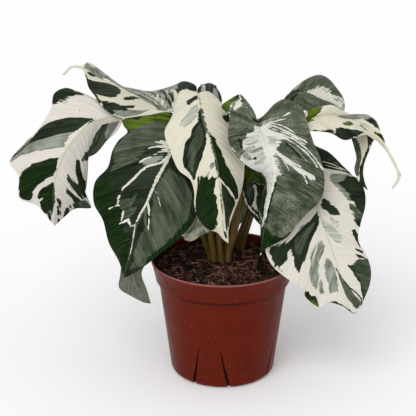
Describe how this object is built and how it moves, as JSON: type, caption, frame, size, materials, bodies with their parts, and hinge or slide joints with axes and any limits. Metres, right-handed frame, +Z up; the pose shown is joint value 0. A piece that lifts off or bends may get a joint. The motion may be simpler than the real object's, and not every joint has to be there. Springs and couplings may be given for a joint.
{
  "type": "potted foliage plant",
  "caption": "Leafy house plant with broad white and green marked leaves on arching stems, in soil, in a tapered thin-walled nursery pot.",
  "frame": {"origin": "centre of the foot pad on the pot's underside, on the surface that the pot stands on", "axes": "+Z up, the pictured side of the plant faces -Y, +X to the right in the picture"},
  "size_m": [0.3116, 0.1702, 0.2549],
  "materials": {
    "pot_plastic": "satin moulded plastic",
    "potting_soil": "coarse fibrous soil",
    "leaf_green": "satin leaf, marked white, grey-green and dark green",
    "stem_olive": "satin leaf stalk"
  },
  "bodies": {
    "root": {"pot": "pot_plastic", "soil": "potting_soil", "leaf_far_left": "leaf_green", "leaf_upper_left": "leaf_green", "leaf_front_left": "leaf_green", "leaf_front": "leaf_green", "leaf_front_right": "leaf_green", "leaf_upper_right": "leaf_green", "leaf_right_tailed": "leaf_green", "leaf_lower_right": "leaf_green", "leaf_inner_young": "leaf_green", "leaf_low_left": "leaf_green", "leaf_right_hanging": "leaf_green", "leaf_behind_right": "leaf_green", "leaf_low_inner": "leaf_green", "leaf_back_top": "leaf_green", "leaf_back_left": "leaf_green", "leaf_back_right": "leaf_green", "leaf_back_middle": "leaf_green", "leaf_back_low": "leaf_green", "stem_far_left": "stem_olive", "stem_upper_left": "stem_olive", "stem_front_left": "stem_olive", "stem_front": "stem_olive", "stem_front_right": "stem_olive", "stem_upper_right": "stem_olive", "stem_right_tailed": "stem_olive", "stem_lower_right": "stem_olive", "stem_inner_young": "stem_olive", "stem_low_left": "stem_olive", "stem_right_hanging": "stem_olive", "stem_behind_right": "stem_olive", "stem_low_inner": "stem_olive", "stem_back_top": "stem_olive", "stem_back_left": "stem_olive", "stem_back_right": "stem_olive", "stem_back_middle": "stem_olive", "stem_back_low": "stem_olive"}
  },
  "joints": []
}
